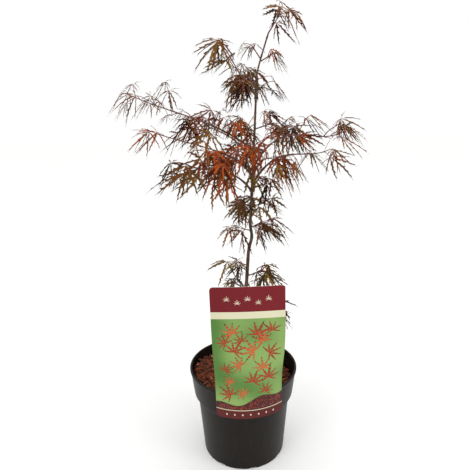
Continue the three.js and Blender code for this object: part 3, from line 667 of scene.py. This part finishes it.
def pose_leaf(limb, base, way, droop, draw, attempt, scale=1):
    """One way of holding a leaf on a stalk that leaves base towards way."""
    length = part_way(*stalk.length, draw()) * scale
    turn = (draw() - 0.5) * (hold.turn + hold.turn_more * attempt)
    dip = math.radians(part_way(*hold.dip, draw()) + droop)
    bank = (draw() - 0.5) * math.radians(hold.bank)
    size = limb.leaf * part_way(*hold.size, draw()) * (1 - hold.shrink * attempt) * scale
    flat = unit(np.array((way[0], way[1], 0)) + heading(limb.azimuth) * hold.outward)
    flat = turned(flat, UP, math.radians(turn))
    forward = flat * math.cos(dip) - UP * math.sin(dip)
    side = turned(unit(np.cross(forward, UP)), forward, bank)
    normal = unit(np.cross(side, forward))
    hub = base + way * length
    return Values(base=base, hub=hub, forward=forward, side=side, normal=normal, size=size)


def leaf_lines(leaf):
    """Where the stalk and lobes of a leaf start and end."""
    tips = [lobe_points(leaf, angle, share, (1,))[0] for angle, share in leaf.lobes]
    return np.array([[part_way(leaf.base, leaf.hub, 0.5)] + [leaf.hub] * len(tips), [leaf.hub, *tips]])


def crosses(leaf, others, clear):
    """Whether a leaf comes too near to other leaves."""
    if not others:
        return False
    points = part_way(*leaf_lines(leaf), np.linspace(0, 1, 7)[:, None, None]).reshape(-1, 3)
    starts, ends = np.concatenate([other.lines for other in others], axis=1)
    return (stretches(points, starts, ends) < clear).any()


def grow_leaf(limb, base, way, droop, draw, others, scale=1, clear=hold.clear):
    """Tries a leaf in several poses and gives the first that stays in its space with most of its lobes."""
    chosen = None
    for attempt in range(hold.tries):
        leaf = pose_leaf(limb, base, way, droop, draw, attempt, scale)
        if chosen is not None:
            continue
        probes = [lobe_points(leaf, angle, share, (0.4, 0.7, 1)) for angle, share in fan]
        fits = free(np.vstack([leaf.hub[None], *probes]), limb)
        lobe_fits = fits[1:].reshape(-1, 3).all(1)
        leaf.lobes = [lobe for lobe, fit in zip(fan, lobe_fits) if fit]
        if fits[0] and lobe_fits[2] and len(leaf.lobes) >= 4 and not crosses(leaf, others, clear):
            leaf.lines = leaf_lines(leaf)
            chosen = leaf
    return chosen


def side_way(limb, hand, roll):
    """The way in which a side twig or leaf leaves its limb."""
    roll = math.radians(roll)
    aside = limb.across * hand * math.cos(roll) + limb.over * hand * math.sin(roll)
    return unit(limb.along * hold.forward + aside)


def grow_spray(limb):
    """The pairs, forks and tip leaves of one limb, as its solid has them."""
    draw = seeded(limb.seed)
    limb.leaves, limb.side_twigs = [], []

    def add(base, way, droop=0):
        leaf = grow_leaf(limb, base, way, droop, draw, limb.leaves)
        if leaf:
            limb.leaves.append(leaf)

    tip = limb_point(limb, 1)
    limb.along = unit(tip - limb_point(limb, limb.start))
    limb.across = unit(np.cross(limb.along, UP))
    limb.over = np.cross(limb.across, limb.along)
    for k in range(limb.nodes):
        base = limb_point(limb, part_way(limb.start, 1, min(twig.last_node, (k + twig.node) / limb.nodes)))
        roll = (hold.steep_roll if k % 2 else hold.flat_roll) + (draw() - 0.5) * hold.roll_spread
        for hand in (1, -1):
            way = side_way(limb, hand, roll)
            end = base + way * part_way(*twig.length, draw())
            clear_end = free(np.array([end, part_way(base, end, 0.5)]), limb).all()
            if hand == 1 and k < limb.nodes - 1 and clear_end:
                limb.side_twigs.append((base, end))
                add(end, unit(way + limb.across * hold.fork))
                add(end, unit(way - limb.across * hold.fork))
            else:
                add(base, way)
    ahead_way = unit(heading(limb.azimuth) + UP * hold.tip_rise)
    for spread in (0, 1, -1):
        add(tip, turned(ahead_way, UP, math.radians(spread * hold.tip_spread)), hold.tip_droop)


shoot = Values(tries=3, first=0.12, span=0.86, roll=(-40, 75), length=(6, 22), size=(0.5, 0.92), clear=1.3)


def grow_shoots(limb):
    """Finer shoots between the pairs, each with one or two smaller leaves."""
    draw = seeded(limb.seed + 7000)
    for k in range(limb.shoots):
        for attempt in range(shoot.tries):
            base = limb_point(limb, part_way(limb.start, 1, shoot.first + shoot.span * draw()))
            hand = 1 if draw() < 0.5 else -1
            way = side_way(limb, hand, part_way(*shoot.roll, draw()))
            end = base + way * part_way(*shoot.length, draw())
            scale = part_way(*shoot.size, draw())
            if not free(end, limb).all():
                continue
            grown = []
            for hand in (1, -1):
                fork = unit(way + limb.across * hand * hold.fork)
                leaf = grow_leaf(limb, end, fork, 0, draw, limb.leaves + grown, scale, shoot.clear)
                if leaf:
                    grown.append(leaf)
            if grown:
                limb.leaves += grown
                limb.side_twigs.append((base, end))
                break


for limb in limbs.values():
    grow_spray(limb)
    grow_shoots(limb)


def arched(base, end, form):
    """A thin tapering tube that rises a little on its way from base to end."""
    share = np.linspace(0, 1, form.rings)[:, None]
    rise = np.linalg.norm(end - base) * form.arch * np.sin(math.pi * share)
    line = part_way(base, end, share) + UP * rise
    return limb_shell(line, part_way(form.foot, form.tip, share[:, 0]), form.sides)


twig_draw = np.random.default_rng(12)
twig_wood, leaf_stalks = Bundle(), Bundle()
for limb in limbs.values():
    steps = np.linspace(max(0, limb.start - twig.sunk / limb.length), 1, 10 * limb.nodes + 8)
    shares = (steps - steps[0]) / (1 - steps[0])
    lengths = shares * math.hypot(limb.length, limb.lift) * (1 - limb.start)
    joints = [lengths[-1] * (k + twig.node) / limb.nodes for k in range(limb.nodes)]
    radii = part_way(twig.foot, twig.tip, shares)
    twig_wood.add(*barked(limb_point(limb, steps), radii, lengths, twig, joints, twig_draw))
    for base, end in limb.side_twigs:
        twig_wood.add(*arched(base, end, side_twig))
    for leaf in limb.leaves:
        leaf_stalks.add(*arched(leaf.base, leaf.hub, stalk))

young_wood = Finish("young_wood", Roughness=0.5, Specular_IOR_Level=0.4)
young_tone = young_wood.noise(14, detail=3)
young_share = young_wood.between(young_tone, 0.4, 0.6)
young_wood.surface("Base Color", young_wood.mix(young_share, shade(92, 46, 36), shade(84, 62, 44)))
twigs = twig_wood.piece("twigs", [young_wood])
stalk_finish = Finish("red_stalks", Roughness=0.45, Specular_IOR_Level=0.4, Base_Color=shade(128, 58, 44))
stalks = leaf_stalks.piece("leaf_stalks", [stalk_finish])
for piece in (twigs, stalks):
    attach(piece, "root")


# The leaves are palmate and cut almost to their hub into seven narrow lobes, each creased along its rib and
# toothed like a saw, with darker teeth and a thread for a tip. Sprays differ in tint, from rusty orange
# through red-brown to olive, and some leaves in each take a neighbouring tint.
side_lobes = ((112, 0.46, 2), (74, 0.72, 3), (37, 0.94, 4))
lobes = [(-angle, share, cuts) for angle, share, cuts in side_lobes] + [(0, 1.04, 5), *side_lobes[::-1]]
lobe = Values(
    rib=0.038, rib_end=0.014, tooth=0.1, root=0.45, fold=0.35, spread=9, sweep=0.13, inward=0.0024,
    forward=1.3, thread=0.8, ripe=0.66, hang=0.0008, stagger=0.25, outer=100,
)


def toothed_lobes(leaves, angle, length_share, cuts, draw):
    """One lobe of many leaves: its points, (leaf, point, 3), and a single leaf's faces and their paint."""
    count = len(leaves)
    size, slim, forward, side, normal, hub = (
        np.array([getattr(leaf, key) for leaf in leaves]).reshape(count, 1, -1)
        for key in ("size", "slim", "forward", "side", "normal", "hub")
    )
    each = (count, 1, 1)
    size = size * length_share * draw.uniform(0.9, 1.08, each)
    slim = slim * draw.uniform(0.7, 1.15, each)
    angles = np.radians(angle + draw.normal(0, lobe.spread, each))
    way = forward * np.cos(angles) + side * np.sin(angles)
    across = side * np.cos(angles) - forward * np.sin(angles)
    sweep = draw.normal(0, lobe.sweep, each) - lobe.inward * angle
    droop = (sag + lobe.hang * abs(angle)) * draw.uniform(0.7, 1.3, each)

    def at(share, aside, lift=0.0):
        """Points at shares of the lobe's length, some of it to the side and lifted along the normal."""
        share, aside, lift = (np.atleast_2d(part)[..., None] for part in (share, aside, lift))
        aside = aside * slim + sweep * share**2
        out = way * share + across * aside + normal * lift - UP * (droop * share**2)
        return hub + out * size

    inner = np.linspace(0, lobe.thread, cuts + 1)[None]
    gap = inner[:, 1] - inner[:, 0]
    swell = np.sin(math.pi * inner**0.75) ** 0.8
    rib_width = lobe.rib * (0.25 + 0.75 * swell)
    rib_width[:, -1] = lobe.rib_end
    parts = [at(inner, 0)]
    tooth_at = inner[:, :-1] + gap * (0.5 + lobe.forward / 2)
    tooth_swell = np.sin(math.pi * np.clip(tooth_at * 0.96, 0, 1) ** 0.8) ** 0.7
    for hand in (1, -1):
        shift = hand * lobe.stagger * gap * (inner > 0.01) * (inner < 0.85)
        width = rib_width * draw.uniform(0.8, 1.2, (count, cuts + 1))
        places = inner + shift
        parts.append(at(places, hand * width, lobe.fold * width))
        root_at, root_width = (part_way(row[:, :-1], row[:, 1:], lobe.root) for row in (places, width))
        parts.append(at(root_at, hand * root_width, lobe.fold * root_width))
        reach = lobe.tooth * tooth_swell * draw.uniform(0.6, 1.2, (count, cuts))
        place = tooth_at + draw.uniform(-0.012, 0.02, (count, cuts)) + shift[:, :-1]
        parts.append(at(place, hand * reach, lobe.fold * reach * draw.uniform(0, 1.4, (count, cuts))))
    parts.append(at(1, 0))
    sizes = [part.shape[1] for part in parts]
    rib, *sides, thread = np.split(np.arange(sum(sizes)), np.cumsum(sizes[:-1]))
    blade, dark = [], []
    for (edge, roots, tips), hand in ((sides[:3], 1), (sides[3:], -1)):
        for j in range(cuts):
            faces = blade if j < cuts * lobe.ripe else dark
            faces += [(rib[j], rib[j + 1], edge[j + 1])[::hand], (rib[j], edge[j + 1], edge[j])[::hand]]
            dark.append((roots[j], edge[j + 1], tips[j])[::hand])
        dark.append((rib[cuts], thread[0], edge[cuts])[::hand])
    return np.concatenate(parts, axis=1), np.array(blade + dark), np.repeat((0, 4), (len(blade), len(dark)))


leaf_shades = {
    "ember": ((166, 78, 38), (138, 59, 28), (90, 38, 18), (130, 92, 36)),
    "brick": ((164, 77, 33), (126, 55, 23), (74, 31, 14), (124, 88, 32)),
    "maroon": ((112, 51, 22), (82, 37, 14), (43, 20, 8), (94, 64, 22)),
    "bronze": ((132, 82, 38), (100, 60, 29), (56, 34, 18), (110, 70, 32)),
    "olive": ((126, 98, 42), (100, 76, 36), (62, 46, 23), (100, 62, 34)),
}
dark_tone = 0.74
near_tints = {
    "ember": ("brick", "ember", "bronze"),
    "brick": ("ember", "maroon", "bronze"),
    "maroon": ("olive", "bronze", "maroon"),
    "bronze": ("brick", "olive", "maroon"),
    "olive": ("bronze", "olive", "maroon"),
}
shade_shares = (0.3, 0.29, 0.22, 0.19)
keep = 0.6
slim = Values(least=0.65, most=1.15, at_trunk=1.28, outward=0.0031, leaf=52)
tint_draw = np.random.default_rng(21)
by_tint = {tint: [] for tint in leaf_shades}
for limb in limbs.values():
    for leaf in limb.leaves:
        tint = limb.tint if tint_draw.random() < keep else near_tints[limb.tint][tint_draw.integers(3)]
        leaf.shade = tint_draw.choice(4, p=shade_shares)
        width = slim.at_trunk - slim.outward * limb.length
        leaf.slim = tint_draw.uniform(slim.least, slim.most) * width * limb.leaf / slim.leaf
        by_tint[tint].append(leaf)


def fits_lobe(leaf, angle):
    """Whether a leaf has one of its free lobes at an angle, or next to an outermost one."""
    return any(
        abs(angle - kept) < 12 or abs(angle) > lobe.outer and kept * angle > 0 and abs(kept) > 60
        for kept, _ in leaf.lobes
    )


blade_draw = np.random.default_rng(44)
for tint, leaves in by_tint.items():
    blades = Bundle()
    for angle, share, cuts in lobes:
        fitting = [leaf for leaf in leaves if fits_lobe(leaf, angle)]
        points, faces, paint = toothed_lobes(fitting, angle, share, cuts, blade_draw)
        for leaf, its_points in zip(fitting, points):
            tone = leaf.shade if blade_draw.random() < keep else blade_draw.choice(4, p=shade_shares)
            blades.add(its_points, faces, tone + paint)
    gloss = {"Roughness": 0.6, "Specular_IOR_Level": 0.08}
    finishes = [
        Finish(f"{tint}_{part}_{k}", Base_Color=shade(*(tone * c for c in colour)), **gloss)
        for part, tone in (("blade", 1), ("edge", dark_tone))
        for k, colour in enumerate(leaf_shades[tint])
    ]
    foliage = blades.piece("leaves_" + tint, finishes, smooth=False)
    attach(foliage, "root")
    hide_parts(*("foliage_" + limb.name for limb in limbs.values() if limb.tint == tint))
    "leaf_" + tint


# The card is one printed sheet of coated board, 0.8 mm thick with rounded corners. It bends round the rim,
# flattens and twists a little towards its top, and hangs by a tongue that hooks over the lip. Its print has
# bands of colour, rows of autumn leaves and a dark dotted mound.
card = Values(
    width=115, height=232.5, bottom=122, thickness=0.8, corner=5, clearance=0.6, top_bend=600, bend_start=8,
    bend_end=170, azimuth=6.5, tilt=1, twist=-5.5, tongue_width=20, tongue_reach=8.5, tongue_drop=8,
    columns=36, row=3, ink=0.08,
)


def card_point(across, up, off):
    """The card's surface at a distance across and a height up, outward by off."""
    across, up = np.broadcast_arrays(np.asarray(across, float), up)
    ease = eased(up, pot.height - card.bottom + card.bend_start, card.bend_end)
    inner = pot.rim + card.clearance
    bend = 1 / part_way(1 / inner, 1 / card.top_bend, ease)
    angle = across / bend
    out = bend + off
    points = np.stack([out * np.sin(angle), bend - out * np.cos(angle), card.bottom + up], -1)
    points = spin(points, card.twist * ease, 0, 1) - np.array((0, inner, 0))
    hinge = UP * pot.height
    return spin(spin(points - hinge, card.tilt, 0, 2) + hinge, card.azimuth, 0, 1)


bands = (
    ("foot_band", 0, 15, (76, 24, 26), (88, 32, 30)),
    ("foot_rule", 15, 16.4, (196, 188, 156), (204, 196, 164)),
    ("green_field", 16.4, 180, (78, 118, 54), (132, 162, 92)),
    ("cream_strip", 180, 191.5, (204, 200, 170), (212, 208, 178)),
    ("maroon_head", 191.5, card.height, (104, 20, 28), (114, 26, 33)),
)
coated = {"Roughness": 0.4, "Specular_IOR_Level": 0.16}
card_finishes = []
corner_rows = np.array((0, card.corner * 0.25, card.corner))
edges = [corner_rows, card.height - corner_rows]
for name, low, high, dark, light in bands:
    first, last = max(low, card.corner), min(high, card.height - card.corner)
    edges.append(np.linspace(first, last, round((high - low) / card.row) + 2))
    print_finish = Finish(name, **coated)
    cloud = print_finish.between(print_finish.noise(70, detail=1, rough=0.3), 0.3, 0.7)
    print_finish.surface("Base Color", print_finish.mix(cloud, shade(*dark), shade(*light)))
    card_finishes.append(print_finish)
bare_board = Finish("bare_board", Base_Color=shade(226, 222, 210), Roughness=0.7, Specular_IOR_Level=0.3)
card_finishes.append(bare_board)
rows = np.unique(np.round(np.concatenate(edges), 3))
inset = np.maximum(0, card.corner - np.minimum(rows, card.height - rows))
half_width = card.width / 2 - card.corner + np.sqrt(card.corner**2 - inset**2)
columns = np.linspace(-1, 1, card.columns + 1)
grid = half_width[:, None] * columns, rows[:, None]
front, back = (card_point(*grid, off).reshape(-1, 3) for off in (card.thickness, 0))
sheet_front = quads(len(rows), len(columns), closed=False)
numbers = np.arange(len(front)).reshape(len(rows), -1)
ring = np.concatenate([numbers[0], numbers[1:-1, -1], numbers[-1, ::-1], numbers[-2:0:-1, 0]])
after = np.roll(ring, -1)
sheet_edge = np.stack([ring, ring + len(front), after + len(front), after], -1)
row_band = np.searchsorted([band[2] for band in bands], (rows[:-1] + rows[1:]) / 2, side="right")
bare = len(bands)
sheet = Bundle()
sheet_faces = np.concatenate([sheet_front, sheet_front[:, ::-1] + len(front), sheet_edge])
sheet_paint = np.full(len(sheet_faces), bare)
sheet_paint[:len(sheet_front)] = np.repeat(row_band, card.columns)
sheet.add(np.concatenate([front, back]), sheet_faces, sheet_paint)
thick, inside, drop = card.thickness, -card.tongue_reach, -card.tongue_drop
tongue_line = np.array([
    (0, 0), (0, 4 * thick), (inside, thick), (inside, drop), (inside + thick, drop), (inside + thick, 0),
]) + (pot.rim + card.clearance + thick / 4, pot.height + card.clearance)
tongue_sides = (-card.tongue_width / 2, card.tongue_width / 2)
tongue = np.array([(out, side, up) for side in tongue_sides for out, up in tongue_line])
tongue_faces = [*quads(2, 6), (0, 5, 2, 1), (2, 5, 4, 3), (6, 7, 8, 11), (8, 9, 10, 11)]
sheet.add(spin(tongue, card.azimuth - 90, 0, 1), tongue_faces, bare)
card_sheet = sheet.piece("card_sheet", card_finishes, smooth=False)
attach(card_sheet, "root")
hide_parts("card")

print_draw = np.random.default_rng(17)
ink = Bundle()
print_lobe = Values(spread=37, shorter=0.1, width=0.1, notch=0.42, swell=0.7)


def printed_leaf(across, up, size, turn, paint, layer=1, cuts=4):
    """A flat star of seven toothed lobes printed on the card, its middle lobe turned from straight up."""
    for k in range(-3, 4):
        bearing = math.radians(turn + print_lobe.spread * k)
        length = size * (1 - print_lobe.shorter * abs(k)) * print_draw.uniform(0.9, 1.1)
        share = np.linspace(0, 1, 2 * cuts + 2)
        zigzag = np.where(np.arange(len(share)) % 2, 1, print_lobe.notch)
        half = length * print_lobe.width * np.sin(math.pi * share**print_lobe.swell) * zigzag
        out, sin, cos = length * share, math.sin(bearing), math.cos(bearing)
        off = card.thickness + card.ink * layer
        points = [
            card_point(across + out * sin + edge * cos, up + out * cos - edge * sin, off)
            for edge in (-half, half)
        ]
        ink.add(np.concatenate(points), flipped(quads(2, len(share), closed=False)), paint)


def printed_diamond(across, up, size, paint, layer=1):
    corners = np.array([(0, -1), (0.75, 0), (0, 1), (-0.75, 0)]) * size + (across, up)
    ink.add(card_point(*corners.T, card.thickness + card.ink * layer), [(0, 1, 2, 3)], paint)


green_low, green_high = bands[2][1:3]
leaf_rows, leaf_columns, lowest_row, row_gap, column_gap, shift, room = 6, 3, 46, 24, 34, 6, 1.15
for i in range(leaf_rows):
    for j in range(leaf_columns):
        size, turn = print_draw.uniform(15, 24), print_draw.uniform(-80, 80)
        across = (j - 1 + 0.5 * (i % 2) - 0.25) * column_gap + print_draw.uniform(-shift, shift)
        up = lowest_row + i * row_gap + print_draw.uniform(-shift, shift)
        across = np.clip(across, room * size - card.width / 2, card.width / 2 - room * size)
        up = np.clip(up, green_low, green_high - room * size)
        printed_leaf(across, up, size * 1.1, turn, 2)
        printed_leaf(across, up, size, turn, print_draw.integers(2), layer=2)
mound = Values(top=33, slope=0.16, wave=5, length=11, margin=0.2, rows=7, dots=260, inside=2)
mound_across = columns * (card.width / 2 - mound.margin)
mound_top = mound.top + mound.slope * mound_across + mound.wave * np.sin(mound_across / mound.length)
mound_up = part_way(green_low + mound.margin, mound_top, np.linspace(0, 1, mound.rows)[:, None])
mound_points = card_point(mound_across, mound_up, card.thickness + 3 * card.ink)
ink.add(mound_points.reshape(-1, 3), quads(mound.rows, len(mound_across), closed=False), 4)
for k in range(mound.dots):
    at = print_draw.integers(mound.inside, card.columns - 1)
    up = part_way(green_low + mound.inside, mound_top[at] - mound.inside, print_draw.random())
    across = mound_across[at] + print_draw.uniform(-1.5, 1.5)
    printed_diamond(across, up, print_draw.uniform(0.8, 1.7), (0, 2, 5)[k % 3], 4)
for k in range(5):
    printed_leaf((k - 2) * 16, 208 + 3 * (-1) ** k, 7.5, 0, 3, cuts=3)
for k in range(7):
    printed_diamond((k - 3) * 13, 7.5, 2.1, 3)
ink_finishes = [
    Finish(name, Base_Color=shade(*colour), **coated)
    for name, colour in (
        ("brick_ink", (156, 62, 36)), ("orange_ink", (190, 98, 54)), ("wine_ink", (98, 34, 26)),
        ("cream_ink", (216, 200, 176)), ("dusk_ink", (70, 34, 34)), ("rose_ink", (120, 66, 62)),
    )
]
card_print = ink.piece("card_print", ink_finishes, smooth=False)
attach(card_print, "root")
